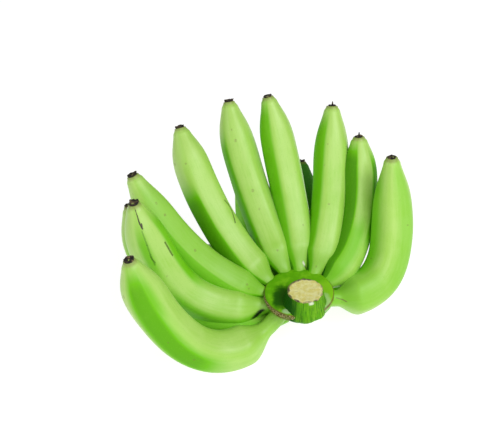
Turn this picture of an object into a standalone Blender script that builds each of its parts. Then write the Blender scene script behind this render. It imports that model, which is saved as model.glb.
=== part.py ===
"""A hand of green bananas, as cut from the bunch: one grown piece, lying on its outer fingers.

Two rows of fingers leave a short crown and curve up round the cut stalk. Each finger is a sphere
whose points are moved onto a five-sided tube along its own curved centre line. The crown is a
turned collar over a cushion, with a fluted stub of stalk. Everything is then joined into one solid,
and the lowest bellies are cut flat where the hand lies on a table.
Metres, +Z up. The stalk stands upright, the fan of fingers opens to the back (+Y).
"""

import math
from typing import NamedTuple

import bmesh
import bpy
from mathutils import Matrix, Vector
from mathutils.geometry import interpolate_bezier

# Where the stalk's axis meets the collar's rim, in the part's frame
STALK = Vector((0.0261, -0.0440, 0.0450))

# Green of the peel
GREEN = (0.30, 0.62, 0.08, 1.0)
GLOSS = 0.38

# Fingers
SIDES = 15
RINGS = 20
RING_CROWDING = 0.6
ROOT_RADIUS = 0.012
NECK_SHARE = 0.40
TIP_RADIUS = 0.0068
TIP_DOME = 0.0012
TAPER_POWER = 2.4
TIP_SHOULDER = 0.25
SHOULDER_SHARE = 0.025

# Section of a finger: how flat its five faces are along the belly, and at both ends
FACES = 5
BELLY_FLATNESS = 4.8
END_FLATNESS = 2.5
FLAT_FROM_NECK = 0.25
FLAT_FROM_TIP = 0.35

# Collar, as radius and height over the rim, from the top down
COLLAR = (
    (0.0, 0.0025), (0.0180, 0.0025), (0.0240, 0.0022), (0.0288, 0.0008), (0.0295, 0.0),
    (0.0295, -0.0030), (0.0290, -0.0055), (0.0275, -0.0075), (0.0200, -0.0150),
    (0.0120, -0.0225), (0.0, -0.0270),
)
COLLAR_STEPS = 40

# Cushion behind and under the collar, where the outer row grows from
CUSHION_MIDDLE = Vector((0.0, 0.0110, -0.0180))
CUSHION_RADII = Vector((0.0240, 0.0180, 0.0130))
CUSHION_SIDES = 24
CUSHION_RINGS = 12

# Stub of stalk: radius and height over the rim, from the cut down, and how its middle moves
STUB = (
    (0.0, 0.0136), (0.0128, 0.0136), (0.0136, 0.0142), (0.0146, 0.0140), (0.0152, 0.0132),
    (0.0160, 0.0090), (0.0178, 0.0030), (0.0200, -0.0025), (0.0203, -0.0045),
    (0.0180, -0.0080), (0.0120, -0.0150), (0.0, -0.0180),
)
STUB_STEPS = 45
STUB_TOP_MIDDLE = Vector((0.0050, -0.0130))
STUB_FOOT_MIDDLE = Vector((0.0030, -0.0100))
FLUTES = 9
FLUTE_DEPTH = 0.030
FLUTE_START = 0.23

# Side of the box that cuts the bellies flat
CUTTER_SIDE = 0.6

# Edges sharper than this are drawn sharp
SHARP_FROM = math.radians(35)

# Dried flower ends
CRUST_SIDES = 7
CRUST_FOOT_RADIUS = 0.0042
CRUST_TOP_RADIUS = 0.0034
CRUST_HEIGHT = 0.0034
CRUST_SUNK = 0.0014
CRUST_JAG = 0.0011
CRUST_PEAKS = 3
CRUST_STEP = 1.7
SPIKE_SIDES = 5
SPIKE_RADIUS = 0.0013
SPIKE_END_RADIUS = 0.0005
SPIKE_LENGTH = 0.0052
SPIKE_OFFSET = 0.0018
SPIKE_STEP = 2.4
SPIKE_LEAN = 0.25


class Finger(NamedTuple):
    """One banana. Lengths in metres, angles in degrees, shares counted along its length."""

    fan: float  # bearing of the root round the stalk, from the back to the right
    root: float  # height of the root over the collar's rim
    lift: float  # slope at which the neck leaves
    reach: float  # how strongly the neck keeps that course
    tip: tuple  # where the flower end is, from the stalk's axis at the rim
    face: tuple  # bearing and slope that the flower end points to
    follow: float  # how strongly the flower end keeps that course
    girth: float  # diameter at the belly
    roll: float  # turn of the ridges
    neck_end: float = 0.09
    swell: float = 0.14
    taper: float = 0.66


FINGERS = {
    "inner_1": Finger(-129, -0.006, -39, 0.102, (-0.128, -0.048, 0.077), (-88, 81), 0.070, 0.0355, 20,
                      neck_end=0.135, swell=0.12, taper=0.70),
    "inner_2": Finger(-97, -0.009, -12, 0.084, (-0.130, 0.003, 0.092), (-72, 80), 0.074, 0.036, 66),
    "inner_3": Finger(-79, -0.008, -3, 0.060, (-0.134, 0.030, 0.100), (-62, 66), 0.060, 0.0305, 15,
                      taper=0.60),
    "inner_4": Finger(-57, -0.008, 5, 0.056, (-0.101, 0.089, 0.108), (-30, 62), 0.055, 0.0325, 18),
    "inner_5": Finger(-23, -0.008, 10, 0.060, (-0.061, 0.123, 0.113), (-20, 66), 0.055, 0.031, 18),
    "inner_6": Finger(1, -0.008, 12, 0.057, (-0.0268, 0.122, 0.118), (-41, 70), 0.060, 0.031, 52,
                      taper=0.62),
    "inner_7": Finger(28, -0.008, 13, 0.055, (0.029, 0.119, 0.110), (0, 70), 0.060, 0.031, 62,
                      taper=0.60),
    "inner_8": Finger(54, -0.008, 4, 0.058, (0.052, 0.100, 0.090), (-16, 76), 0.062, 0.031, 11),
    "inner_9": Finger(80, -0.008, -16, 0.086, (0.077, 0.062, 0.094), (-51, 85), 0.080, 0.0355, 17,
                      neck_end=0.12, swell=0.10, taper=0.50),
    "outer_1": Finger(-112, -0.021, -18, 0.076, (-0.141, 0.034, 0.066), (-55, 80), 0.070, 0.036, 33),
    "outer_2": Finger(-88, -0.023, -20, 0.060, (-0.116, 0.065, 0.037), (-42, 54), 0.055, 0.033, 28,
                      taper=0.50),
    "outer_3": Finger(-62, -0.023, -20, 0.050, (-0.088, 0.068, -0.008), (-50, 25), 0.040, 0.031, 29),
    "outer_4": Finger(-33, -0.023, -17, 0.080, (-0.049, 0.142, 0.036), (-20, 62), 0.060, 0.032, 42),
    "outer_5": Finger(4, -0.023, -17, 0.080, (0.002, 0.150, 0.030), (-4, 62), 0.060, 0.032, 46),
    "outer_6": Finger(32, -0.023, -19, 0.072, (0.047, 0.112, 0.030), (5, 66), 0.056, 0.032, 64),
}


def clear_scene():
    for obj in list(bpy.data.objects):
        bpy.data.objects.remove(obj)


def new_collection(name):
    collection = bpy.data.collections.new(name)
    bpy.context.scene.collection.children.link(collection)
    return collection


def green_peel():
    material = bpy.data.materials.new("green_peel")
    material.use_nodes = True
    shader = material.node_tree.nodes["Principled BSDF"]
    shader.inputs["Base Color"].default_value = GREEN
    shader.inputs["Roughness"].default_value = GLOSS
    shader.inputs["Metallic"].default_value = 0.0
    material.diffuse_color = GREEN
    return material


def mesh_object(name, mesh_data, collection):
    """An object from a bmesh, which is freed."""
    mesh = bpy.data.meshes.new(name)
    mesh_data.to_mesh(mesh)
    mesh_data.free()
    obj = bpy.data.objects.new(name, mesh)
    collection.objects.link(obj)
    return obj


def ease(x):
    """0 to 1 with level ends."""
    x = min(max(x, 0.0), 1.0)
    return x * x * (3 - 2 * x)


def way(bearing, slope):
    """Unit vector at a bearing from the back to the right, and a slope above the level."""
    bearing, slope = math.radians(bearing), math.radians(slope)
    level = math.cos(slope)
    return Vector((level * math.sin(bearing), level * math.cos(bearing), math.sin(slope)))


class CentreLine:
    """A finger's centre line, read by its share of the length, with a frame that doesn't twist."""

    STEPS = 160

    def __init__(self, finger):
        start = ROOT_RADIUS * way(finger.fan, 0) + Vector((0, 0, finger.root))
        end = Vector(finger.tip)
        first = start + finger.reach * way(finger.fan, finger.lift)
        last = end - finger.follow * way(*finger.face)
        self.points = interpolate_bezier(start, first, last, end, self.STEPS)
        self.length = [0.0]
        for a, b in zip(self.points, self.points[1:]):
            self.length.append(self.length[-1] + (b - a).length)
        self.frames = []
        side = (self.points[1] - self.points[0]).cross(Vector((0, 0, 1))).normalized()
        for i in range(self.STEPS):
            before = self.points[max(i - 1, 0)]
            after = self.points[min(i + 1, self.STEPS - 1)]
            along = (after - before).normalized()
            side = (side - along * side.dot(along)).normalized()
            self.frames.append((along, side, side.cross(along)))

    def at(self, share):
        """Point, direction, side and inner side at a share of the length."""
        goal = share * self.length[-1]
        i = 0
        while i < self.STEPS - 2 and self.length[i + 1] < goal:
            i += 1
        u = (goal - self.length[i]) / (self.length[i + 1] - self.length[i])
        point = self.points[i].lerp(self.points[i + 1], u)
        along, side, inner = (
            a.lerp(b, u).normalized() for a, b in zip(self.frames[i], self.frames[i + 1])
        )
        return point, along, side, inner


def finger_radius(finger, share):
    """Neck, belly and bottle end."""
    neck = NECK_SHARE + (1 - NECK_SHARE) * ease((share - finger.neck_end) / finger.swell)
    tip = TIP_RADIUS / (finger.girth / 2)
    fall = max(share - finger.taper, 0) / (1 - finger.taper)
    shoulder = 1 - TIP_SHOULDER * ease((share - 1 + SHOULDER_SHARE) / SHOULDER_SHARE)
    return finger.girth / 2 * neck * (1 - (1 - tip) * ease(fall**TAPER_POWER)) * shoulder


def ridged(around, share):
    """The section: five rather flat faces that meet in soft ridges, rounder at both ends."""
    belly = ease(share / FLAT_FROM_NECK) * ease((1 - share) / FLAT_FROM_TIP)
    flatness = END_FLATNESS + (BELLY_FLATNESS - END_FLATNESS) * belly
    total = 0.0
    for face in range(FACES):
        bearing = 2 * math.pi * (face + 0.5) / FACES
        total += max(math.cos(around - bearing), 0.0) ** flatness
    ridge = (2 * math.cos(math.pi / FACES) ** flatness) ** (-1 / flatness)
    return total ** (-1 / flatness) * 2 / (1 + ridge)


def ring_share(step):
    """Share of the length for a step from 0 to 1, closer together at both ends."""
    return step - RING_CROWDING * math.sin(2 * math.pi * step) / (2 * math.pi)


def finger_solid(name, finger, line, collection):
    """A sphere whose south pole goes to the root and north pole to the flower end."""
    mesh = bmesh.new()
    bmesh.ops.create_uvsphere(mesh, u_segments=SIDES, v_segments=RINGS, radius=1.0)
    for vertex in mesh.verts:
        ring = round(RINGS * (1 - math.acos(max(-1.0, min(1.0, vertex.co.z))) / math.pi))
        if ring == RINGS:
            point, along, side, inner = line.at(1.0)
            vertex.co = point + TIP_DOME * along
            continue
        share = ring_share(ring / (RINGS - 1))
        point, along, side, inner = line.at(share)
        if ring == 0:
            vertex.co = point
            continue
        around = math.atan2(vertex.co.y, vertex.co.x)
        turned = around + math.radians(finger.roll)
        out = inner * math.cos(turned) + side * math.sin(turned)
        vertex.co = point + finger_radius(finger, share) * ridged(around, share) * out
    return mesh_object(name, mesh, collection)


def flower_end(name, line, number, collection):
    """The black, jagged crust that the flower leaves, and the dried spike in it."""
    point, along, side, inner = line.at(1.0)
    turn = Matrix((inner, side, along)).transposed().to_4x4()
    crust = bmesh.new()
    bmesh.ops.create_cone(
        crust, cap_ends=True, segments=CRUST_SIDES, radius1=CRUST_FOOT_RADIUS,
        radius2=CRUST_TOP_RADIUS, depth=CRUST_HEIGHT,
    )
    for vertex in crust.verts:
        if vertex.co.z > 0:
            around = math.atan2(vertex.co.y, vertex.co.x)
            vertex.co.z += CRUST_JAG * math.sin(CRUST_PEAKS * around + CRUST_STEP * number)
    middle = point + (CRUST_HEIGHT / 2 - CRUST_SUNK) * along
    crust.transform(Matrix.Translation(middle) @ turn)
    mesh_object(name + "_crust", crust, collection)
    spike = bmesh.new()
    bmesh.ops.create_cone(
        spike, cap_ends=True, segments=SPIKE_SIDES, radius1=SPIKE_RADIUS,
        radius2=SPIKE_END_RADIUS, depth=SPIKE_LENGTH,
    )
    bearing = SPIKE_STEP * number
    offset = SPIKE_OFFSET * (side * math.cos(bearing) + inner * math.sin(bearing))
    lean = Matrix.Rotation(SPIKE_LEAN * math.sin(number), 4, "X")
    middle = point + offset + SPIKE_LENGTH / 2 * along
    spike.transform(Matrix.Translation(middle) @ turn @ lean)
    mesh_object(name + "_spike", spike, collection)


def turned_solid(name, profile, steps, collection):
    """A closed solid turned from a profile of radius and height, top to bottom."""
    outline = bpy.data.meshes.new(name + "_outline")
    points = [(radius, 0.0, height) for radius, height in profile]
    outline.from_pydata(points, [(i, i + 1) for i in range(len(points) - 1)], [])
    obj = bpy.data.objects.new(name, outline)
    collection.objects.link(obj)
    screw = obj.modifiers.new("turn", "SCREW")
    screw.steps = steps
    screw.render_steps = steps
    screw.use_merge_vertices = True
    screw.merge_threshold = 0.00005
    bpy.context.view_layer.update()
    evaluated = obj.evaluated_get(bpy.context.evaluated_depsgraph_get())
    solid = bpy.data.meshes.new_from_object(evaluated)
    obj.modifiers.clear()
    obj.data = solid
    bpy.data.meshes.remove(outline)
    return obj


def flute(stub):
    """Moves the stub's middle with its height and presses shallow flutes into its side."""
    top, foot = STUB[0][1], STUB[-1][1]
    for vertex in stub.data.vertices:
        x, y, z = vertex.co
        share = (z - foot) / (top - foot)
        middle = STUB_FOOT_MIDDLE.lerp(STUB_TOP_MIDDLE, ease(share))
        fade = 1 - ease((share - FLUTE_START) / (1 - FLUTE_START))
        groove = 1 + FLUTE_DEPTH * fade * math.cos(FLUTES * math.atan2(y, x))
        vertex.co = (middle.x + x * groove, middle.y + y * groove, z)


def cushion_solid(name, collection):
    """The swollen tissue under the collar: a sphere, stretched."""
    mesh = bmesh.new()
    bmesh.ops.create_uvsphere(mesh, u_segments=CUSHION_SIDES, v_segments=CUSHION_RINGS, radius=1.0)
    mesh.transform(Matrix.Translation(CUSHION_MIDDLE) @ Matrix.Diagonal((*CUSHION_RADII, 1.0)))
    return mesh_object(name, mesh, collection)


def box_below(name, height, collection):
    """A large box whose upper face lies at a height: a cutter."""
    mesh = bmesh.new()
    bmesh.ops.create_cube(mesh, size=CUTTER_SIDE)
    mesh.transform(Matrix.Translation((0, 0, height - CUTTER_SIDE / 2)))
    cutter = mesh_object(name, mesh, collection)
    cutter.hide_render = True
    cutter.display_type = "WIRE"
    return cutter


def apply_boolean(obj, operation, other, solver="EXACT"):
    """Cuts by an object, or joins all objects of a collection, and keeps the result as the mesh."""
    modifier = obj.modifiers.new(operation.lower(), "BOOLEAN")
    modifier.operation = operation
    modifier.solver = solver
    if isinstance(other, bpy.types.Collection):
        modifier.operand_type = "COLLECTION"
        modifier.collection = other
    else:
        modifier.object = other
    bpy.context.view_layer.update()
    evaluated = obj.evaluated_get(bpy.context.evaluated_depsgraph_get())
    result = bpy.data.meshes.new_from_object(evaluated)
    obj.modifiers.clear()
    obj.data = result


def build():
    clear_scene()
    hand = new_collection("green_banana_hand")
    pieces = new_collection("pieces_to_join")
    cutters = new_collection("cutters")

    crown = turned_solid("banana_hand", COLLAR, COLLAR_STEPS, hand)
    stub = turned_solid("stub", STUB, STUB_STEPS, pieces)
    flute(stub)
    cushion_solid("cushion", pieces)

    for number, (name, finger) in enumerate(FINGERS.items()):
        line = CentreLine(finger)
        finger_solid(name, finger, line, pieces)
        flower_end(name, line, number, pieces)
    apply_boolean(crown, "UNION", pieces, solver="MANIFOLD")
    for obj in list(pieces.objects):
        bpy.data.objects.remove(obj)
    bpy.data.collections.remove(pieces)

    table = box_below("table_cut", -STALK.z, cutters)
    apply_boolean(crown, "DIFFERENCE", table)
    crown.data.transform(Matrix.Translation(STALK))
    table.data.transform(Matrix.Translation(STALK))

    crown.data.materials.clear()
    crown.data.materials.append(green_peel())
    crown.data.shade_smooth()
    crown.data.set_sharp_from_angle(angle=SHARP_FROM)


build()
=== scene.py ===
# %% [markdown]
# # A hand of green bananas
# The object is what a banana cutter calls a hand: a row or two of unripe bananas that grew from one
# cushion of stalk tissue, cut off the bunch with a short stub of stalk still standing in the middle.
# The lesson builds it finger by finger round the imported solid, then paints the waxy peel, the
# fibrous cut and the black flower ends, and lights it softly from above.

# %% Load the frame
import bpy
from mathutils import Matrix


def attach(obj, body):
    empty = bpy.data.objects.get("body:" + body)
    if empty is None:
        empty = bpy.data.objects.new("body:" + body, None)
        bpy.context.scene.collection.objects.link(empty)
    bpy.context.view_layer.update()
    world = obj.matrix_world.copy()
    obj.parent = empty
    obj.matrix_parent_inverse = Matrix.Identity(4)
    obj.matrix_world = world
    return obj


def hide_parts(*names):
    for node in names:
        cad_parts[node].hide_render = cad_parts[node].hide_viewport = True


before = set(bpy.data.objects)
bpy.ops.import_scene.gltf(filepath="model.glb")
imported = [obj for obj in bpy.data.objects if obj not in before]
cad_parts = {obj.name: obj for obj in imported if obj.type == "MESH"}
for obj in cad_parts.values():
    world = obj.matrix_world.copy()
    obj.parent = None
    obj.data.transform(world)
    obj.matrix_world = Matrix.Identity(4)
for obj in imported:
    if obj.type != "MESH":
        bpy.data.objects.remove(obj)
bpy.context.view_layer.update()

# %% [markdown]
# ## Sizes that drive the hand
# Everything hangs on the stalk's axis where it crosses the collar's rim. The same values made the
# solid, so each visible banana lies exactly where its solid one does. Lengths are in metres.

# %% Where the stalk is
import math
import random
from typing import NamedTuple

import bpy
import numpy as np
from mathutils import Matrix, Vector, noise

noise.seed_set(5)
STALK = Vector((0.0261, -0.0440, 0.0450))
MM = 0.001

for obj in bpy.context.selected_objects:
    obj.select_set(False)
hand = bpy.data.collections.new("green_banana_hand")
bpy.context.scene.collection.children.link(hand)
print("the collar's rim is", round(STALK.z / MM), "mm over the table")

# %% [markdown]
# ## The camera
# The photographer stood in front of the cut and looked down on it. The rim of the collar is a true
# circle, so the flatness of its ellipse in the picture gives the height of the camera: 43 degrees.
# The crown isn't in the middle of the picture, so the camera is turned until the crown falls on its
# pixel, with no lens shift.

# %% Set the camera
PICTURE = Vector((500, 435))
CROWN_PIXEL = Vector((299.0, 292.5))
CAMERA_HEIGHT = math.radians(43)
CAMERA_DISTANCE = 0.750
FOCAL_PIXELS = 885
SENSOR = 36.0

right = Vector((1, 0, 0))
back = Vector((0, -math.cos(CAMERA_HEIGHT), math.sin(CAMERA_HEIGHT)))
up = back.cross(right)
facing = Matrix((right, up, back)).transposed()
offset = (CROWN_PIXEL - PICTURE / 2) / FOCAL_PIXELS
ray = Vector((offset.x, -offset.y, -1)).normalized()
aim = Vector((0, 0, -1)).rotation_difference(ray).to_matrix()

bpy.ops.object.camera_add(location=STALK + CAMERA_DISTANCE * back)
camera = bpy.context.object
camera.name = "camera"
camera.rotation_euler = (facing @ aim.transposed()).to_euler()
camera.data.sensor_width = SENSOR
camera.data.lens = SENSOR * FOCAL_PIXELS / PICTURE.x
camera.data.dof.use_dof = False
bpy.context.scene.camera = camera
print("lens", round(camera.data.lens, 1), "mm")

# %% [markdown]
# ## What one banana is
# A green banana has a thin neck, a belly of almost even thickness and a bottle-shaped end. It leaves
# the crown nearly level, then bends upwards, because bananas grow away from the ground. One could
# bend a straight tube with a Curve modifier, but the twist of its ridges is then hard to steer. Here
# each banana is a few named measures, and a cubic curve from the crown to the flower end.


# %% Measures of each banana
class Banana(NamedTuple):
    """Lengths in metres, angles in degrees, shares counted along the length."""

    fan: float  # bearing of the root round the stalk, from the back to the right
    root: float  # height of the root over the collar's rim
    lift: float  # slope at which the neck leaves
    reach: float  # how strongly the neck keeps that course
    tip: tuple  # where the flower end is, from the stalk's axis at the rim
    face: tuple  # bearing and slope that the flower end points to
    follow: float  # how strongly the flower end keeps that course
    girth: float  # diameter at the belly
    roll: float  # turn of the ridges
    neck_end: float = 0.09
    swell: float = 0.14
    taper: float = 0.66


BANANAS = {
    "inner_1": Banana(-129, -0.006, -39, 0.102, (-0.128, -0.048, 0.077), (-88, 81), 0.070, 0.0355, 20,
                      neck_end=0.135, swell=0.12, taper=0.70),
    "inner_2": Banana(-97, -0.009, -12, 0.084, (-0.130, 0.003, 0.092), (-72, 80), 0.074, 0.036, 66),
    "inner_3": Banana(-79, -0.008, -3, 0.060, (-0.134, 0.030, 0.100), (-62, 66), 0.060, 0.0305, 15,
                      taper=0.60),
    "inner_4": Banana(-57, -0.008, 5, 0.056, (-0.101, 0.089, 0.108), (-30, 62), 0.055, 0.0325, 18),
    "inner_5": Banana(-23, -0.008, 10, 0.060, (-0.061, 0.123, 0.113), (-20, 66), 0.055, 0.031, 18),
    "inner_6": Banana(1, -0.008, 12, 0.057, (-0.0268, 0.122, 0.118), (-41, 70), 0.060, 0.031, 52,
                      taper=0.62),
    "inner_7": Banana(28, -0.008, 13, 0.055, (0.029, 0.119, 0.110), (0, 70), 0.060, 0.031, 62,
                      taper=0.60),
    "inner_8": Banana(54, -0.008, 4, 0.058, (0.052, 0.100, 0.090), (-16, 76), 0.062, 0.031, 11),
    "inner_9": Banana(80, -0.008, -16, 0.086, (0.077, 0.062, 0.094), (-51, 85), 0.080, 0.0355, 17,
                      neck_end=0.12, swell=0.10, taper=0.50),
    "outer_1": Banana(-112, -0.021, -18, 0.076, (-0.141, 0.034, 0.066), (-55, 80), 0.070, 0.036, 33),
    "outer_2": Banana(-88, -0.023, -20, 0.060, (-0.116, 0.065, 0.037), (-42, 54), 0.055, 0.033, 28,
                      taper=0.50),
    "outer_3": Banana(-62, -0.023, -20, 0.050, (-0.088, 0.068, -0.008), (-50, 25), 0.040, 0.031, 29),
    "outer_4": Banana(-33, -0.023, -17, 0.080, (-0.049, 0.142, 0.036), (-20, 62), 0.060, 0.032, 42),
    "outer_5": Banana(4, -0.023, -17, 0.080, (0.002, 0.150, 0.030), (-4, 62), 0.060, 0.032, 46),
    "outer_6": Banana(32, -0.023, -19, 0.072, (0.047, 0.112, 0.030), (5, 66), 0.056, 0.032, 64),
}
print(len(BANANAS), "bananas")

# %% [markdown]
# ## The line through a banana
# The curve needs a frame at each point: which way is along, which way is the inner side of the bend,
# and which way is sideways. Carrying the sideways arrow from point to point, and only ever tipping it
# back square to the curve, keeps the frame from twisting, so the ridges run true.

# %% Centre line with an untwisted frame
LINE_STEPS = 240
ROOT_RADIUS = 0.012


def way(bearing, slope):
    """Unit vector at a bearing from the back to the right, and a slope above the level."""
    bearing, slope = math.radians(bearing), math.radians(slope)
    level = math.cos(slope)
    return Vector((level * math.sin(bearing), level * math.cos(bearing), math.sin(slope)))


class CentreLine:
    """Points and frames of a banana, read by shares of its length."""

    def __init__(self, banana):
        start = STALK + ROOT_RADIUS * way(banana.fan, 0) + Vector((0, 0, banana.root))
        end = STALK + Vector(banana.tip)
        first = start + banana.reach * way(banana.fan, banana.lift)
        last = end - banana.follow * way(*banana.face)
        u = np.linspace(0, 1, LINE_STEPS)[:, None]
        weights = ((1 - u) ** 3, 3 * (1 - u) ** 2 * u, 3 * (1 - u) * u**2, u**3)
        corners = (start, first, last, end)
        self.points = sum(w * np.array(corner) for w, corner in zip(weights, corners))
        steps = np.linalg.norm(np.diff(self.points, axis=0), axis=1)
        self.length = float(steps.sum())
        self.shares = np.concatenate([[0], np.cumsum(steps)]) / self.length
        self.along = np.gradient(self.points, axis=0)
        self.along /= np.linalg.norm(self.along, axis=1)[:, None]
        side = np.cross(self.along[0], (0, 0, 1))
        self.side = np.empty_like(self.along)
        for i, along in enumerate(self.along):
            side = side - along * side.dot(along)
            side /= np.linalg.norm(side)
            self.side[i] = side
        self.inner = np.cross(self.side, self.along)

    def at(self, share):
        """Points, directions, inner sides and sideways arrows at an array of shares."""
        rows = (self.points, self.along, self.inner, self.side)
        return [
            np.stack([np.interp(share, self.shares, row[:, k]) for k in range(3)], axis=-1)
            for row in rows
        ]


lines = {name: CentreLine(banana) for name, banana in BANANAS.items()}
print("lengths in mm:", {name: round(line.length / MM) for name, line in lines.items()})

# %% [markdown]
# ## The body of a banana
# A UV sphere already has what a banana needs: rings from pole to pole, closed ends, and a UV map
# that says how far round and how far along each point lies. So the sphere is added once for each
# banana, and its own UV map is used to lay its points on a ridged tube round the centre line. The
# ridges are drawn out from the round section, wander a little, and fade in the neck and at the tip.

# %% Lay a sphere along the line
SEGMENTS = 96
RINGS = 120
SPHERE_RADIUS = 0.02
RING_CROWDING = 0.6
NECK_SHARE = 0.40
TIP_RADIUS = 0.0068
TIP_DOME = 0.0012
TAPER_POWER = 2.4
TIP_SHOULDER = 0.25
SHOULDER_SHARE = 0.025
RIDGES = 5
BELLY_FLATNESS = 4.8
END_FLATNESS = 2.5
FLAT_FROM_NECK = 0.25
FLAT_FROM_TIP = 0.35
WANDER = 0.06
DENTS = 0.010


def ease(x):
    """0 to 1 with level ends."""
    x = np.clip(x, 0, 1)
    return x * x * (3 - 2 * x)


def banana_radius(banana, share):
    """Neck, belly and bottle end."""
    neck = NECK_SHARE + (1 - NECK_SHARE) * ease((share - banana.neck_end) / banana.swell)
    tip = TIP_RADIUS / (banana.girth / 2)
    fall = np.maximum(share - banana.taper, 0) / (1 - banana.taper)
    shoulder = 1 - TIP_SHOULDER * ease((share - 1 + SHOULDER_SHARE) / SHOULDER_SHARE)
    return banana.girth / 2 * neck * (1 - (1 - tip) * ease(fall**TAPER_POWER)) * shoulder


def ring_share(step):
    """Share of the length for a step from 0 to 1, closer together at both ends."""
    return step - RING_CROWDING * np.sin(2 * np.pi * step) / (2 * np.pi)


def ridged(around, share, number):
    """The section: five rather flat faces, with ridges that wander a little, and shallow dents."""
    bent = around + WANDER * np.sin(5 * share + number)
    belly = ease(share / FLAT_FROM_NECK) * ease((1 - share) / FLAT_FROM_TIP)
    flatness = END_FLATNESS + (BELLY_FLATNESS - END_FLATNESS) * belly
    total = 0
    for face in range(RIDGES):
        bearing = 2 * np.pi * (face + 0.5) / RIDGES
        total = total + np.maximum(np.cos(bent - bearing), 0) ** flatness
    ridge = (2 * np.cos(np.pi / RIDGES) ** flatness) ** (-1 / flatness)
    dents = np.sin(2 * around + 9 * share + 2.1 * number) * np.sin(17 * share + 1.3 * number)
    return total ** (-1 / flatness) * 2 / (1 + ridge) + DENTS * dents


def finish_piece(obj, name):
    """Names a piece, moves it to the hand's collection, smooths it and deselects it."""
    obj.name = name
    obj.data.name = name
    for collection in list(obj.users_collection):
        collection.objects.unlink(obj)
    hand.objects.link(obj)
    obj.data.shade_smooth()
    obj.select_set(False)
    return obj


def add_banana(name, number):
    """Lays a sphere's points on the ridged tube, and spaces its UV map as its rings are spaced."""
    banana, line = BANANAS[name], lines[name]
    bpy.ops.mesh.primitive_uv_sphere_add(segments=SEGMENTS, ring_count=RINGS, radius=SPHERE_RADIUS)
    obj = bpy.context.object
    mesh = obj.data

    uv = np.empty(len(mesh.loops) * 2, np.float32)
    mesh.uv_layers.active.data.foreach_get("uv", uv)
    uv = uv.reshape(-1, 2)
    corner = np.empty(len(mesh.loops), np.int32)
    mesh.loops.foreach_get("vertex_index", corner)
    placed = np.empty((len(mesh.vertices), 2))
    placed[corner] = uv

    around = 2 * np.pi * placed[:, 0]
    ring = np.round(placed[:, 1] * RINGS)
    share = ring_share(np.clip(ring / (RINGS - 1), 0, 1))
    point, along, inner, side = line.at(share)
    turned = (around + math.radians(banana.roll))[:, None]
    out = inner * np.cos(turned) + side * np.sin(turned)
    radius = banana_radius(banana, share) * ridged(around, share, number)
    radius[(ring == 0) | (ring == RINGS)] = 0
    places = point + radius[:, None] * out
    places[ring == RINGS] += TIP_DOME * along[ring == RINGS]
    places[:, 2] = np.maximum(places[:, 2], 0)
    mesh.vertices.foreach_set("co", places.astype(np.float32).ravel())

    steps = np.clip(np.round(uv[:, 1] * RINGS) / (RINGS - 1), 0, 1)
    uv[:, 1] = ring_share(steps)
    mesh.uv_layers.active.data.foreach_set("uv", uv.astype(np.float32).ravel())
    mesh.update()
    return finish_piece(obj, "banana_" + name)


bananas = {name: add_banana(name, number) for number, name in enumerate(BANANAS)}
print(sum(len(obj.data.polygons) for obj in bananas.values()), "faces on", len(bananas), "bananas")

# %% [markdown]
# ## The collar
# Where the hand grew out of the stalk there is a flat collar, bright green on top, with the necks of
# the bananas coming out from under its rim. Turning it is the natural way. A circle is added near the
# axis, and each next ring is extruded from the last one, moved and scaled, as by hand. Under it the
# swollen tissue that carries the outer row is a stretched sphere.

# %% Turn a piece from rings
COLLAR_STEPS = 160
CUSHION_MIDDLE = Vector((0.0, 0.0110, -0.0180))
CUSHION_RADII = Vector((0.0240, 0.0180, 0.0130))
COLLAR_TOP = ((0.0, 2.5), (18.0, 2.5), (24.0, 2.2), (27.6, 1.5), (28.8, 0.8), (29.5, 0.0))
COLLAR_UNDER = (
    (29.6, -1.2), (29.5, -3.0), (29.4, -4.4), (29.0, -5.5), (28.4, -6.6), (27.5, -7.5),
    (20.0, -15.0), (12.0, -22.5), (0.0, -27.0),
)


def turned_piece(name, profile, steps):
    """Extrudes ring after ring down a profile of radius and height in mm, from the top's middle."""
    _, (first_radius, first_height), *others = profile
    bpy.ops.mesh.primitive_circle_add(
        vertices=steps, radius=first_radius * MM, fill_type="TRIFAN",
        location=STALK + Vector((0, 0, first_height * MM)),
    )
    bpy.ops.object.transform_apply(location=True)
    bpy.ops.object.mode_set(mode="EDIT")
    bpy.ops.mesh.select_mode(type="EDGE")
    bpy.ops.mesh.select_all(action="DESELECT")
    bpy.ops.mesh.select_non_manifold()
    radius, height = first_radius, first_height
    for next_radius, next_height in others:
        drop = (0, 0, (next_height - height) * MM)
        bpy.ops.mesh.extrude_region_move(TRANSFORM_OT_translate={"value": drop})
        middle = STALK + Vector((0, 0, next_height * MM))
        scale = max(next_radius, 0.01) / radius
        bpy.ops.transform.resize(value=(scale, scale, 1), center_override=middle)
        radius, height = max(next_radius, 0.01), next_height
    bpy.ops.mesh.merge(type="CENTER")
    bpy.ops.mesh.select_all(action="SELECT")
    bpy.ops.mesh.normals_make_consistent(inside=False)
    bpy.ops.object.mode_set(mode="OBJECT")
    return finish_piece(bpy.context.object, name)


def add_cushion():
    """The swollen tissue under the collar: a sphere, stretched."""
    bpy.ops.mesh.primitive_uv_sphere_add(segments=96, ring_count=48, location=STALK + CUSHION_MIDDLE)
    bpy.ops.transform.resize(value=CUSHION_RADII)
    bpy.ops.object.transform_apply(location=True, scale=True)
    return finish_piece(bpy.context.object, "crown_cushion")


collar = turned_piece("crown_collar", COLLAR_TOP + COLLAR_UNDER, COLLAR_STEPS)
cushion = add_cushion()
print("collar:", len(collar.data.polygons), "faces")

# %% [markdown]
# ## The stub of stalk
# The stub stands a little in front of the collar's middle and leans forward, with flutes down its
# side where the leaf sheaths were. It is turned as well, then its points are moved and grooved.

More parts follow.
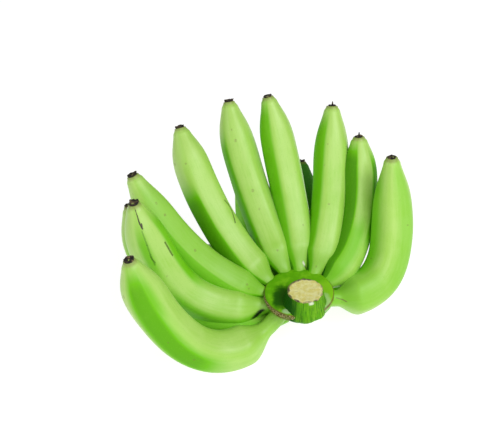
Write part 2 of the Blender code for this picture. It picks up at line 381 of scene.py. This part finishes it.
# %% Turn and flute the stub
STUB_STEPS = 180
STUB_PROFILE = (
    (0.0, 13.2), (4.0, 13.2), (9.0, 13.2), (12.6, 13.4), (13.4, 14.0), (14.2, 14.2), (14.8, 13.8),
    (15.2, 13.0), (15.5, 11.0), (16.0, 9.0), (16.8, 6.0), (17.8, 3.0), (19.0, 0.0), (20.0, -2.5),
    (20.3, -4.5), (19.8, -6.0), (18.0, -8.0), (12.0, -15.0), (0.0, -18.0),
)
STUB_TOP_MIDDLE = Vector((0.0050, -0.0130))
STUB_FOOT_MIDDLE = Vector((0.0030, -0.0100))
FLUTES = 9
FLUTE_DEPTH = 0.030
FLUTE_START = 0.23
FINE_FLUTES = 31
FINE_DEPTH = 0.010
STUB_LEAN_TOP = 13.6 * MM
STUB_LEAN_FOOT = -18.0 * MM

stub = turned_piece("crown_stub", STUB_PROFILE, STUB_STEPS)
for vertex in stub.data.vertices:
    x, y, z = vertex.co - STALK
    share = min(max((z - STUB_LEAN_FOOT) / (STUB_LEAN_TOP - STUB_LEAN_FOOT), 0.0), 1.0)
    middle = STUB_FOOT_MIDDLE.lerp(STUB_TOP_MIDDLE, float(ease(share)))
    around = math.atan2(y, x)
    fade = 1 - float(ease((share - FLUTE_START) / (1 - FLUTE_START)))
    groove = 1 + FLUTE_DEPTH * fade * math.cos(FLUTES * around)
    groove -= FINE_DEPTH * max(math.sin(FINE_FLUTES * around + 3 * math.sin(2 * around)), 0)
    vertex.co = STALK + Vector((middle.x + x * groove, middle.y + y * groove, z))
print("stub:", len(stub.data.polygons), "faces")

# %% [markdown]
# ## The scar of the leaf
# The leafy bract that once covered the hand tore off along the collar's front left edge, and left a
# double row of short dry fibres. Each is a small sphere, drawn out and set a little askew by a
# seeded chance, so that the two rows stay uneven.

# %% Set the fibres
FIBRE_FIRST, FIBRE_LAST, FIBRE_STEP = 184, 264, 2.6  # degrees round the stalk's axis
FIBRE_ROWS = ((29.5, -0.7, 0.55), (29.3, -2.6, 0.62))  # radius, height and thickness in mm
chance = random.Random(7)

fibres = []
for radius, height, thickness in FIBRE_ROWS:
    angle = FIBRE_FIRST + chance.uniform(0, 2)
    while angle < FIBRE_LAST:
        turn = math.radians(angle)
        spot = Vector((math.cos(turn), math.sin(turn), 0)) * (radius + chance.uniform(-0.25, 0.35))
        spot.z = height + chance.uniform(-0.25, 0.25)
        bpy.ops.mesh.primitive_ico_sphere_add(subdivisions=2, radius=MM, location=STALK + spot * MM)
        bpy.ops.transform.resize(value=(thickness, thickness * 0.7, 1.0 + chance.uniform(-0.2, 0.4)))
        lean = chance.uniform(0.2, 0.7)
        bpy.ops.transform.rotate(value=lean, orient_axis="X", center_override=STALK + spot * MM)
        bpy.ops.transform.rotate(value=-turn, orient_axis="Z", center_override=STALK + spot * MM)
        bpy.ops.object.transform_apply(location=True, rotation=True, scale=True)
        fibres.append(bpy.context.object)
        angle += FIBRE_STEP * chance.uniform(0.8, 1.2)
for obj in fibres:
    obj.select_set(True)
bpy.ops.object.join()
scar = finish_piece(bpy.context.object, "bract_scar")
print("scar:", len(fibres), "fibres")

# %% [markdown]
# ## The flower ends
# A banana keeps a dried scrap of its flower: a black, crumbly crust, and on some a thin grey spike.
# Each is a short cylinder, cut finer and pushed about by noise, and a thin cone. They are modelled
# once for each banana, because no two dry the same way, and joined to one piece.

# %% Make the crusts
CRUST_RADIUS = 0.0041
CRUST_HEIGHT = 0.0024
CRUST_LIFT = 0.0006
CRUST_INSETS = 4
CRUST_ROUGHNESS = 0.0011
CRUST_GRAIN = 420
CRUST_HOLLOW = 0.4
CRUST_FOOT = 0.94
THIN_CRUSTS = {"inner_7": 0.45, "inner_8": 0.45, "inner_9": 0.45, "inner_6": 0.75}
SPIKE_LENGTH = {"inner_7": 4.5, "inner_8": 5.0, "inner_9": 4.0, "inner_3": 2.0}
SPIKE_RADIUS = 0.0012
SPIKE_END_RADIUS = 0.0004
SPIKE_OFFSET = Vector((0.0012, 0.0008))
SPIKE_BEND = 0.12
SPIKE_GRAIN = 900
SPIKE_ROUGHNESS = 0.0002


def frame_at(line, share):
    """Matrix that puts Z along the banana at a share of its length."""
    point, along, inner, side = (Vector(row[0]) for row in line.at(np.array([share])))
    turn = Matrix((inner, side, along)).transposed().to_4x4()
    return Matrix.Translation(point) @ turn


def add_crust(name, number):
    """A crumbled disc on a banana's end, hollow in the middle and narrower below."""
    place = frame_at(lines[name], 1.0)
    bpy.ops.mesh.primitive_cylinder_add(vertices=28, radius=CRUST_RADIUS, depth=CRUST_HEIGHT)
    obj = bpy.context.object
    bpy.ops.object.mode_set(mode="EDIT")
    bpy.ops.mesh.select_all(action="DESELECT")
    bpy.ops.object.mode_set(mode="OBJECT")
    for face in obj.data.polygons:
        face.select = face.normal.z > 0.9
    bpy.ops.object.mode_set(mode="EDIT")
    for _ in range(CRUST_INSETS):
        bpy.ops.mesh.inset(thickness=CRUST_RADIUS / 5.5, depth=0)
    bpy.ops.mesh.select_all(action="SELECT")
    bpy.ops.mesh.quads_convert_to_tris()
    bpy.ops.mesh.subdivide(number_cuts=1)
    bpy.ops.object.mode_set(mode="OBJECT")
    for vertex in obj.data.vertices:
        seed = vertex.co * CRUST_GRAIN + Vector((7 * number, 3 * number, 0))
        push = noise.noise_vector(seed) * CRUST_ROUGHNESS
        if vertex.co.z > 0:
            vertex.co += push + Vector((0, 0, 0.6 * abs(push.x)))
            inward = 1 - (vertex.co.xy.length / CRUST_RADIUS) ** 2
            vertex.co.z -= CRUST_HOLLOW * CRUST_HEIGHT * inward
        else:
            vertex.co.xy *= CRUST_FOOT
    small = THIN_CRUSTS.get(name, 1.0)
    squeeze = Matrix.Diagonal((0.7 + 0.3 * small, 0.7 + 0.3 * small, small, 1.0))
    obj.data.transform(place @ Matrix.Translation((0, 0, CRUST_LIFT)) @ squeeze)
    return obj


def add_spike(name, number, length):
    """What is left of the flower's style: a thin, slightly bent cone, its length in mm."""
    place = frame_at(lines[name], 1.0)
    bpy.ops.mesh.primitive_cone_add(
        vertices=10, radius1=SPIKE_RADIUS, radius2=SPIKE_END_RADIUS, depth=length * MM,
    )
    obj = bpy.context.object
    bpy.ops.object.mode_set(mode="EDIT")
    bpy.ops.mesh.select_all(action="SELECT")
    bpy.ops.mesh.subdivide(number_cuts=2)
    bpy.ops.object.mode_set(mode="OBJECT")
    for vertex in obj.data.vertices:
        rise = vertex.co.z + length * MM / 2
        vertex.co.x += SPIKE_BEND * rise * math.sin(SPIKE_GRAIN * rise + number)
        vertex.co += noise.noise_vector(vertex.co * SPIKE_GRAIN) * SPIKE_ROUGHNESS
    obj.data.transform(place @ Matrix.Translation((*SPIKE_OFFSET, length * MM / 2)))
    return obj


scraps = []
for number, name in enumerate(BANANAS):
    scraps.append(add_crust(name, number))
    if name in SPIKE_LENGTH:
        scraps.append(add_spike(name, number, SPIKE_LENGTH[name]))
for obj in bpy.context.selected_objects:
    obj.select_set(False)
for obj in scraps:
    obj.select_set(True)
bpy.context.view_layer.objects.active = scraps[0]
bpy.ops.object.join()
crusts = finish_piece(bpy.context.object, "dried_flower_ends")
print("flower ends:", len(crusts.data.polygons), "faces")

# %% [markdown]
# ## Shader maths as expressions
# A pattern such as "ridges, but not in the neck" is a small sum. Wiring it by hand takes a dozen
# Math nodes, so a socket is wrapped in a class whose operators add those nodes.


# %% A socket that does sums
class Value:
    """A socket in a node tree: a + b, a - b, a * b, a / b and the methods add their nodes."""

    def __init__(self, tree, socket):
        self.tree = tree
        self.socket = socket

    def math(self, operation, *others):
        node = self.tree.nodes.new("ShaderNodeMath")
        node.operation = operation
        for socket, value in zip(node.inputs, (self, *others)):
            join(self.tree, value, socket)
        return Value(self.tree, node.outputs[0])

    def __add__(self, other):
        return self.math("ADD", other)

    __radd__ = __add__

    def __mul__(self, other):
        return self.math("MULTIPLY", other)

    __rmul__ = __mul__

    def __sub__(self, other):
        return self.math("SUBTRACT", other)

    def __rsub__(self, other):
        return (self * -1).math("ADD", other)

    def __truediv__(self, other):
        return self.math("DIVIDE", other)

    def step(self, low, high):
        """0 below low, 1 above high, smooth between."""
        node = add_node(self.tree, "ShaderNodeMapRange", {"interpolation_type": "SMOOTHSTEP"}, {
            "Value": self, "From Min": low, "From Max": high, "To Min": 0.0, "To Max": 1.0,
        })
        return Value(self.tree, node.outputs["Result"])


def join(tree, value, socket):
    """Links a wrapped socket, or sets a plain value."""
    if isinstance(value, Value):
        tree.links.new(value.socket, socket)
    else:
        socket.default_value = value


def add_node(tree, kind, settings, inputs):
    """Any other node: its type, its settings, then its sockets by name or number."""
    node = tree.nodes.new(kind)
    for key, value in (settings or {}).items():
        setattr(node, key, value)
    for key, value in inputs.items():
        join(tree, value, node.inputs[key])
    return node


class Paint:
    """One material being mixed: its tree, its shader and the nodes that patterns start from."""

    def __init__(self, name, roughness, bump_distance):
        self.material = bpy.data.materials.new(name)
        self.material.use_nodes = True
        self.tree = self.material.node_tree
        self.shader = self.tree.nodes["Principled BSDF"]
        self.shader.inputs["Roughness"].default_value = roughness
        self.bump_distance = bump_distance
        place = self.tree.nodes.new("ShaderNodeTexCoord")
        self.place = Value(self.tree, place.outputs["Object"])
        self.uv = Value(self.tree, place.outputs["UV"])

    def parts(self, vector):
        node = add_node(self.tree, "ShaderNodeSeparateXYZ", None, {0: vector})
        return [Value(self.tree, socket) for socket in node.outputs]

    def vector(self, x, y, z):
        node = add_node(self.tree, "ShaderNodeCombineXYZ", None, {0: x, 1: y, 2: z})
        return Value(self.tree, node.outputs[0])

    def noise(self, vector, scale, detail=2.0, rough=0.5):
        node = add_node(self.tree, "ShaderNodeTexNoise", None, {
            "Vector": vector, "Scale": scale, "Detail": detail, "Roughness": rough,
        })
        return Value(self.tree, node.outputs["Fac"])

    def mix(self, share, one, other):
        """Colour between two colours."""
        node = self.tree.nodes.new("ShaderNodeMix")
        node.data_type = "RGBA"
        join(self.tree, share, node.inputs[0])
        join(self.tree, one, node.inputs[6])
        join(self.tree, other, node.inputs[7])
        return Value(self.tree, node.outputs[2])

    def spots(self, vector, scale, size):
        """Round dots of uneven size, one a cell: 1 in a dot, 0 outside it."""
        node = add_node(self.tree, "ShaderNodeTexVoronoi", None, {"Vector": vector, "Scale": scale})
        distance = Value(self.tree, node.outputs["Distance"])
        colour = Value(self.tree, node.outputs["Color"])
        chance = self.parts(colour)[0]
        return 1 - (distance / (chance * size + 0.001)).step(0.6, 1.0)

    def finish(self, colour, height, roughness=None):
        join(self.tree, colour, self.shader.inputs["Base Color"])
        if roughness is not None:
            join(self.tree, roughness, self.shader.inputs["Roughness"])
        bump = add_node(self.tree, "ShaderNodeBump", None, {
            "Height": height, "Distance": self.bump_distance, "Strength": 1.0,
        })
        self.tree.links.new(bump.outputs[0], self.shader.inputs["Normal"])
        return self.material


print("the shader helpers are ready")

# %% [markdown]
# ## Green peel
# The peel of an unripe banana is waxy and pale yellow green. The faces turned from the light or lying
# against a neighbour, and the gaps between the necks, get painted shade: a deep, pure green, near
# black where it is deepest. A ridge divides lit and shaded faces sharply, so the painted shade goes
# face by face, by the UV map: across is round the banana, and up is along it. Scratches and slits are
# lines on the same map. Each banana gets its own material and reads the noise at a place of its own,
# so that no two look alike. The wax is a coat, left off where shade is painted.

# %% Mix the peel
PEEL_PALE = (0.44, 0.70, 0.145, 1)
PEEL_LIGHT = (0.34, 0.64, 0.070, 1)
# The next two colours are painted shade: deep green, and near black where the shade is deepest.
PEEL_SHADE = (0.155, 0.53, 0.003, 1)
PEEL_SHADE_DARK = (0.012, 0.12, 0.002, 1)
PEEL_NECK = (0.22, 0.55, 0.018, 1)
SCUFF = (0.20, 0.15, 0.05, 1)
SCAR = (0.045, 0.030, 0.012, 1)
OLIVE = (0.085, 0.15, 0.012, 1)
SLIT = (0.003, 0.012, 0.002, 1)
LATEX = (0.86, 0.90, 0.72, 1)
ROUND_MM = 100.0
LENGTH_MM = 170.0
SKIN_STEP = 100.0
STREAK_STRETCH = 14
WAX = 0.9
WAX_ROUGHNESS = 0.42
PEEL_GLOSS = 0.15


class ShadeFace(NamedTuple):
    """A face painted deep green as shade."""

    middle: float  # angle round the banana, in degrees
    half: float  # half its width, in degrees
    soft: float  # half the width of its edge, in degrees
    depth: float  # 1 is full painted shade, and what is over 1 goes on to near-black painted shade
    start: float  # share of the length where it starts
    end: float  # share where it ends


# Painted shade, banana by banana: faces turned from the light or against a neighbour, and the gaps
# between the necks.
PAINTED_SHADE = {
    "inner_1": [ShadeFace(246, 30, 16, 1.25, 0.42, 1.03), ShadeFace(268, 20, 14, 0.90, 0.76, 1.02)],
    "inner_2": [ShadeFace(190, 30, 10, 0.80, 0.10, 0.62), ShadeFace(208, 13, 9, 0.80, 0.70, 0.97),
                ShadeFace(306, 34, 8, 0.90, 0.50, 1.00)],
    "inner_3": [ShadeFace(252, 37, 5, 0.85, 0.15, 0.85), ShadeFace(325, 40, 14, 0.45, 0.10, 1.02),
                ShadeFace(262, 26, 12, 1.6, -0.10, 0.25)],
    "inner_4": [ShadeFace(252, 37, 5, 1.3, 0.00, 0.76), ShadeFace(246, 28, 12, 1.9, -0.10, 0.36)],
    "inner_5": [ShadeFace(252, 37, 6, 1.0, 0.00, 0.90), ShadeFace(244, 30, 12, 1.8, -0.10, 0.36)],
    "inner_6": [ShadeFace(252, 36, 8, 0.95, 0.00, 1.05), ShadeFace(240, 28, 12, 1.6, -0.10, 0.32)],
    "inner_7": [ShadeFace(250, 38, 8, 1.0, 0.00, 1.02), ShadeFace(240, 28, 12, 1.8, -0.10, 0.32)],
    "inner_8": [ShadeFace(324, 38, 6, 1.5, 0.00, 1.02), ShadeFace(100, 44, 6, 1.5, 0.45, 0.96),
                ShadeFace(12, 34, 16, 0.75, 0.00, 0.58), ShadeFace(304, 28, 12, 2.0, -0.10, 0.40)],
    "inner_9": [ShadeFace(300, 36, 24, 0.9, 0.28, 0.98), ShadeFace(15, 60, 20, 0.4, 0.00, 0.45),
                ShadeFace(62, 30, 18, 0.5, 0.35, 1.06)],
    "outer_1": [ShadeFace(262, 40, 14, 0.8, 0.00, 0.95)],
    "outer_2": [ShadeFace(252, 40, 8, 0.8, 0.00, 0.90)],
    "outer_3": [ShadeFace(252, 40, 8, 0.9, 0.00, 0.90)],
    "outer_4": [ShadeFace(252, 40, 8, 0.9, 0.00, 0.90), ShadeFace(324, 36, 8, 0.6, 0.00, 0.80)],
    "outer_5": [ShadeFace(330, 80, 12, 1.9, 0.00, 1.30)],
    "outer_6": [ShadeFace(300, 70, 12, 1.0, 0.00, 1.05)],
}


class Mark(NamedTuple):
    """A scratch, slit or drop, or a line of painted shade."""

    points: tuple  # each an angle round the banana and a share of its length
    width: float  # half width in mm
    colour: tuple
    strength: float


MARKS = {
    "inner_2": [
        Mark(((222, 0.990), (223, 0.966), (222, 0.936), (226, 0.910), (229, 0.928)), 1.0, SCAR, 1.0),
        Mark(((272, 0.798), (273, 0.761), (274, 0.714)), 0.9, OLIVE, 0.9),
        Mark(((218, 0.777), (222, 0.740)), 0.6, OLIVE, 0.7),
        # Painted shade: a dark line along the crack where the first outer banana touches this one.
        Mark(((222, 0.900), (222, 0.835), (220, 0.785), (219, 0.730)), 0.8, PEEL_SHADE_DARK, 0.45),
        Mark(((196, 0.143), (217, 0.114)), 4.0, SLIT, 1.0),
    ],
    "inner_4": [Mark(((-1, 0.587), (6, 0.555), (6, 0.524), (-9, 0.458)), 0.8, OLIVE, 0.9)],
    "inner_5": [Mark(((284, 0.312), (283, 0.283), (288, 0.239)), 0.6, SCUFF, 0.7)],
    "inner_6": [Mark(((336, 0.134), (352, 0.120)), 1.5, LATEX, 0.9),
                Mark(((352, 0.120), (368, 0.110)), 0.8, SLIT, 0.9)],
    "inner_9": [Mark(((26, 0.106), (41, 0.134), (52, 0.150)), 0.9, SCUFF, 0.8)],
}


def stroke(u, v, start, end, width, grain):
    """1 within a half width in mm of a line on the unrolled skin, with a frayed edge."""
    (angle, share), (last_angle, last_share) = start, end
    across = (u - angle / 360).math("WRAP", 0.5, -0.5) * ROUND_MM
    along = (v - share) * LENGTH_MM
    run, rise = (last_angle - angle) / 360 * ROUND_MM, (last_share - share) * LENGTH_MM
    part = ((across * run + along * rise) / (run * run + rise * rise)).math("MAXIMUM", 0.0)
    part = part.math("MINIMUM", 1.0)
    off, on = across - part * run, along - part * rise
    away = (off * off + on * on).math("SQRT") + (grain - 0.5) * (2 * width)
    return 1 - away.step(width * 0.4, width)


def peel(name, number):
    """The peel of one banana: its patterns read the unrolled skin in mm, the streaks a shorter one."""
    paint = Paint("peel_" + name, roughness=0.55, bump_distance=0.0004)
    u, v, _ = paint.parts(paint.uv)
    circle = u * (2 * math.pi)
    radius_mm = ROUND_MM / (2 * math.pi)
    x = circle.math("COSINE") * radius_mm + SKIN_STEP * number
    y = circle.math("SINE") * radius_mm
    skin = paint.vector(x, y, v * LENGTH_MM)
    streaky = paint.vector(x, y, v * (LENGTH_MM / STREAK_STRETCH))
    cloud = paint.noise(skin, 0.055, detail=3)
    streak = paint.noise(streaky, 0.55, detail=4, rough=0.6)
    grain = paint.noise(skin, 2.2, detail=3)
    wander = (v * 5 + float(number)).math("SINE") * (WANDER / (2 * math.pi))
    bent = u + wander
    ridge = (bent * (2 * math.pi * RIDGES)).math("COSINE").step(0.2, 1.0)
    neck = 1 - v.step(0.02, 0.30)
    end = v.step(0.984, 0.998)
    pale = (cloud * 0.6 + streak * 0.5 + v * 0.25).step(0.42, 0.85)
    colour = paint.mix(pale, PEEL_LIGHT, PEEL_PALE)
    colour = paint.mix(ridge * (0.2 + streak * 0.5), colour, PEEL_LIGHT)
    colour = paint.mix(neck * 0.8, colour, PEEL_NECK)
    # Painted shade: each listed face is mixed towards deep green, and what is over 1 on to near black.
    shade = 0.0
    for deep in PAINTED_SHADE[name]:
        off = (bent - deep.middle / 360).math("WRAP", 0.5, -0.5).math("ABSOLUTE") * 360
        inside = 1 - (off + streak * 4 - 2).step(deep.half - deep.soft, deep.half + deep.soft)
        along = v.step(deep.start - 0.12, deep.start + 0.06) * (1 - v.step(deep.end - 0.14, deep.end))
        shade = (inside * along * deep.depth).math("MAXIMUM", shade)
    dark = (shade - 1).math("MAXIMUM", 0.0)
    shade = shade.math("MINIMUM", 1.0)
    colour = paint.mix(shade * (0.80 + cloud * 0.4), colour, PEEL_SHADE)
    colour = paint.mix(dark, colour, PEEL_SHADE_DARK)
    pores = paint.spots(skin, 0.75, 0.42)
    colour = paint.mix(pores * 0.25, colour, PEEL_NECK)
    rubs = paint.spots(skin, 0.075, 0.14)
    colour = paint.mix(rubs * grain.step(0.35, 0.6) * 0.6, colour, SCUFF)
    colour = paint.mix(end * (0.2 + grain * 0.6), colour, SCUFF)
    pressed = 0
    for mark in MARKS.get(name, []):
        for start, finish in zip(mark.points, mark.points[1:]):
            inside = stroke(u, v, start, finish, mark.width, grain) * mark.strength
            colour = paint.mix(inside, colour, mark.colour)
            pressed = inside + pressed
    join(paint.tree, (1 - shade) * WAX, paint.shader.inputs["Coat Weight"])
    paint.shader.inputs["Coat Roughness"].default_value = WAX_ROUGHNESS
    paint.shader.inputs["Specular IOR Level"].default_value = PEEL_GLOSS
    height = grain * 0.10 + streak * 0.30 - pores * 0.10 - rubs * 0.2 - pressed * 0.4
    return paint.finish(colour, height, 0.50 + grain * 0.12 + rubs * 0.2)


for number, (name, obj) in enumerate(bananas.items()):
    obj.data.materials.append(peel(name, number))
print("peel on", len(bananas), "bananas")

# %% [markdown]
# ## Green of the crown
# The collar and the stub are greener and wetter than the peel, because the knife and the torn-off
# leaf sheaths bared fresh tissue. The outer edge of the collar is a thin brown scar, and the stub's
# side is streaked with dark and light sap lines from top to bottom. The collar gets a painted shadow
# left of the stub, painted light on its right side and two pale patches, all ellipses with an uneven
# edge. The stub's left side is painted in shade.

# %% Mix the crown's green
# The dark green serves for the stub's darker side, its dark sap lines and painted shade and shadow;
# the light green for a paler tone, light sap lines and painted light.
CROWN_GREEN = (0.125, 0.43, 0.003, 1)
CROWN_LIGHT = (0.26, 0.60, 0.016, 1)
CROWN_DARK = (0.008, 0.085, 0.002, 1)
CROWN_PALE_PATCH = (0.52, 0.66, 0.40, 1)
RIM_BROWN = (0.16, 0.095, 0.030, 1)
CROWN_GLOSS = 0.1
COLLAR_RIM = 29.3
CUSHION_RIM = 60  # past the cushion's edge, so that none of it is brown

# Ellipses on the crown: the middle from the stalk's axis, then the two radii, in mm
# The stub's painted shadow on the collar, left of it, and painted light on the collar's right side:
STUB_SHADOW = ((-14.5, -9.0), (8.5, 17.0))
PAINTED_LIT_SIDE = ((24.0, -1.0), (11.0, 17.0))
# Two pale whitish patches on the collar, right of the stub and in front of it.
RIGHT_PALE_PATCH = ((21.5, -12.0), (5.5, 11.0))
FRONT_PALE_PATCH = ((-8.0, -24.0), (7.0, 3.0))
LATEX_DROP = ((10.5, -27.5), (3.2, 1.8))


def blot(x, y, ellipse, blotch):
    """1 in an ellipse, 0 outside, with an uneven edge."""
    middle, radii = ellipse
    across = (x * 1000 - (1000 * STALK.x + middle[0])) / radii[0]
    along = (y * 1000 - (1000 * STALK.y + middle[1])) / radii[1]
    away = (across * across + along * along).math("SQRT") + (blotch - 0.5) * 0.8
    return 1 - away.step(0.55, 1.10)


def crown_paint(name, middle, rim):
    """Green for a crown piece: with a rim radius in mm the collar's, with none the stub's."""
    paint = Paint(name, roughness=0.36, bump_distance=0.0008)
    x, y, z = paint.parts(paint.place)
    dx, dy = x - (STALK.x + middle.x), y - (STALK.y + middle.y)
    around = dy.math("ARCTAN2", dx)
    out = (dx * dx + dy * dy).math("SQRT")
    lines_at = paint.vector(around.math("COSINE") * 20, around.math("SINE") * 20, z * 60)
    sap = paint.noise(lines_at, 0.9, detail=4, rough=0.65)
    blotch = paint.noise(paint.place, 160.0, detail=3)
    grain = paint.noise(paint.place, 1400.0, detail=2)
    colour = paint.mix(blotch.step(0.40, 0.75) * 0.7, CROWN_GREEN, CROWN_LIGHT)
    height_mm = z * 1000 - 1000 * STALK.z
    paint.shader.inputs["Specular IOR Level"].default_value = CROWN_GLOSS
    if rim:
        # Painted shadow of the stub on the collar, and painted light on the collar's right side.
        colour = paint.mix(blot(x, y, STUB_SHADOW, blotch) * 0.9, colour, CROWN_DARK)
        colour = paint.mix(blot(x, y, PAINTED_LIT_SIDE, blotch) * 0.8, colour, CROWN_LIGHT)
        colour = paint.mix(blot(x, y, RIGHT_PALE_PATCH, blotch) * 0.45, colour, CROWN_PALE_PATCH)
        colour = paint.mix(blot(x, y, FRONT_PALE_PATCH, blotch) * 0.6, colour, CROWN_PALE_PATCH)
        edge = (out * 1000).step(rim - 0.9, rim - 0.2) * height_mm.step(-1.6, -0.8)
        scar = (1 - height_mm.step(-0.6, -0.1)) * (1 - (dx * 1000).step(-6.0, 2.0))
        edge = (edge + scar).math("MINIMUM", 1.0)
        colour = paint.mix(edge * (0.35 + blotch * 0.9), colour, RIM_BROWN)
        height = grain * 0.2 + blotch * 0.3
    else:
        side = 1 - height_mm.step(13.6, 14.3)
        # Painted shade on the stub's left side, away from the light.
        shaded_left = 1 - (dx * 1000).step(-13.0, -2.0)
        colour = paint.mix(side * 0.20, colour, CROWN_DARK)
        colour = paint.mix(side * sap.step(0.50, 0.62) * 0.75, colour, CROWN_DARK)
        colour = paint.mix(side * (1 - sap.step(0.30, 0.42)) * 0.7, colour, CROWN_LIGHT)
        colour = paint.mix(side * shaded_left * (0.55 + sap), colour, CROWN_DARK)
        drop = blot(x, y, LATEX_DROP, blotch) * height_mm.step(11.0, 12.5) * 0.75
        colour = paint.mix(drop, colour, LATEX)
        height = grain * 0.15 - sap * 0.9
    return paint.finish(colour, height, 0.34 + blotch * 0.18)


collar.data.materials.append(crown_paint("collar_green", Vector((0, 0)), COLLAR_RIM))
stub.data.materials.append(crown_paint("stub_green", STUB_TOP_MIDDLE, None))
cushion.data.materials.append(crown_paint("cushion_green", Vector((0, 0)), CUSHION_RIM))
print("collar, cushion and stub are painted")

# %% [markdown]
# ## Pith of the cut
# The cut face of the stub has dried to a straw-coloured, fibrous disc with a torn brown edge. It is
# a separate thin disc in the stub's rim, because its finish has nothing in common with the peel.

# %% Make and paint the pith
PITH_STEPS = 72
PITH_PROFILE = ((0.0, 13.9), (2.0, 13.9), (4.0, 13.95), (6.0, 14.0), (8.0, 14.0), (10.0, 14.0),
                (12.0, 14.2), (13.4, 14.5), (14.3, 14.5), (14.7, 14.0), (14.3, 13.0), (0.0, 12.6))
PITH_STRAW = (0.78, 0.70, 0.20, 1)
PITH_PALE = (0.90, 0.85, 0.40, 1)
PITH_FIBRE = (0.26, 0.16, 0.035, 1)
PITH_RADIUS = 0.0145
PITH_FRAY = 0.06

pith = turned_piece("stub_pith", PITH_PROFILE, PITH_STEPS)
for vertex in pith.data.vertices:
    off = vertex.co - STALK
    ragged = 1 + PITH_FRAY * noise.noise(off * 350) * (off.xy.length / PITH_RADIUS) ** 3
    lift = 0.0004 * noise.noise(off * 420) + 0.0007 * max(noise.noise(off * 160), 0)
    x, y = STUB_TOP_MIDDLE + off.xy * ragged
    vertex.co = STALK + Vector((x, y, off.z + lift))

paint = Paint("cut_pith", roughness=0.75, bump_distance=0.0010)
x, y, z = paint.parts(paint.place)
dx, dy = x - (STALK.x + STUB_TOP_MIDDLE.x), y - (STALK.y + STUB_TOP_MIDDLE.y)
out = (dx * dx + dy * dy).math("SQRT") * 1000
wave = paint.noise(paint.place, 130.0, detail=2)
drawn = paint.vector(x * 300 + y * 160, y * 1300 - x * 250 + wave * 4, z * 600)
fibre = paint.noise(drawn, 1.0, detail=5, rough=0.7)
patch = paint.noise(paint.place, 220.0, detail=3)
fine = paint.noise(paint.place, 2400.0, detail=2)
colour = paint.mix(patch.step(0.35, 0.65), PITH_STRAW, PITH_PALE)
colour = paint.mix(fibre.step(0.58, 0.70) * 0.65, colour, PITH_FIBRE)
torn = out + (patch - 0.5) * 5 - (dx - dy) * 45
colour = paint.mix(torn.step(12.9, 14.4) * (0.3 + patch), colour, SCAR)
pith.data.materials.append(paint.finish(colour, fibre * 0.7 + fine * 0.3))
print("pith:", len(pith.data.polygons), "faces")

# %% [markdown]
# ## Dry scraps
# The flower ends and the fibres of the scar hold no sap: they are matt, black to tan, and rough.

# %% Paint the flower ends and the fibres
CRUST_BLACK = (0.010, 0.008, 0.006, 1)
CRUST_BROWN = (0.10, 0.065, 0.030, 1)
CRUST_TAN = (0.26, 0.19, 0.085, 1)
FIBRE_BROWN = (0.07, 0.04, 0.012, 1)
FIBRE_TAN = (0.60, 0.48, 0.24, 1)

paint = Paint("dried_ends", roughness=0.85, bump_distance=0.0006)
patch = paint.noise(paint.place, 500.0, detail=4)
tan = paint.noise(paint.place, 210.0, detail=2)
colour = paint.mix(patch.step(0.45, 0.7), CRUST_BLACK, CRUST_BROWN)
colour = paint.mix(tan.step(0.56, 0.70) * 0.8, colour, CRUST_TAN)
crusts.data.materials.append(paint.finish(colour, patch))

paint = Paint("dried_fibres", roughness=0.85, bump_distance=0.0004)
patch = paint.noise(paint.place, 900.0, detail=3)
colour = paint.mix(patch.step(0.40, 0.62), FIBRE_BROWN, FIBRE_TAN)
scar.data.materials.append(paint.finish(colour, patch))
print("flower ends and fibres are painted")

# %% [markdown]
# ## Floor and light
# The photograph is a cut-out on white, lit softly from above and from the right. A large pale floor
# that glows as bright as the paper, a white sky and three broad lamps give the same light.

# %% Floor, sky and lamps
FLOOR_GREY = (0.35, 0.35, 0.35, 1)
FLOOR_GLOW = 0.85
SKY_GLOW = 0.26
LIT_POINT = Vector((0, 0, 0.05))

bpy.ops.mesh.primitive_plane_add(size=8.0)
floor = bpy.context.object
floor.name = "floor"
floor.select_set(False)
floor_paint = bpy.data.materials.new("pale_floor")
floor_paint.use_nodes = True
floor_shader = floor_paint.node_tree.nodes["Principled BSDF"]
floor_shader.inputs["Base Color"].default_value = FLOOR_GREY
floor_shader.inputs["Roughness"].default_value = 0.9
floor_shader.inputs["Emission Color"].default_value = (1, 1, 1, 1)
floor_shader.inputs["Emission Strength"].default_value = FLOOR_GLOW
floor.data.materials.append(floor_paint)

sky = bpy.data.worlds.new("white_room")
sky.use_nodes = True
sky.node_tree.nodes["Background"].inputs["Color"].default_value = (1, 1, 1, 1)
sky.node_tree.nodes["Background"].inputs["Strength"].default_value = SKY_GLOW
bpy.context.scene.world = sky


def add_lamp(name, place, size, watts):
    """A square lamp turned to the hand."""
    bpy.ops.object.light_add(type="AREA", location=place)
    lamp = bpy.context.object
    lamp.name = name
    lamp.data.size = size
    lamp.data.energy = watts
    lamp.rotation_euler = (LIT_POINT - Vector(place)).to_track_quat("-Z", "Y").to_euler()
    lamp.select_set(False)


add_lamp("key_lamp", (0.82, -0.42, 1.02), 0.50, 6.4)
add_lamp("fill_lamp", (0.45, -0.95, 0.85), 0.80, 6)
add_lamp("side_lamp", (-1.00, -0.50, 0.75), 0.80, 3.5)
bpy.context.scene.view_settings.view_transform = "Standard"
print("lamps, sky and floor are set")

# %% [markdown]
# ## Hand the pieces over
# Every piece moves with the hand's one body. Together they show the imported solid, which is hidden.

# %% Ride, replace and finish
pieces = {
    **bananas, "collar": collar, "cushion": cushion, "stub": stub,
    "pith": pith, "crusts": crusts, "scar": scar,
}
for key_name, obj in pieces.items():
    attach(obj, "root")
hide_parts("banana_hand")
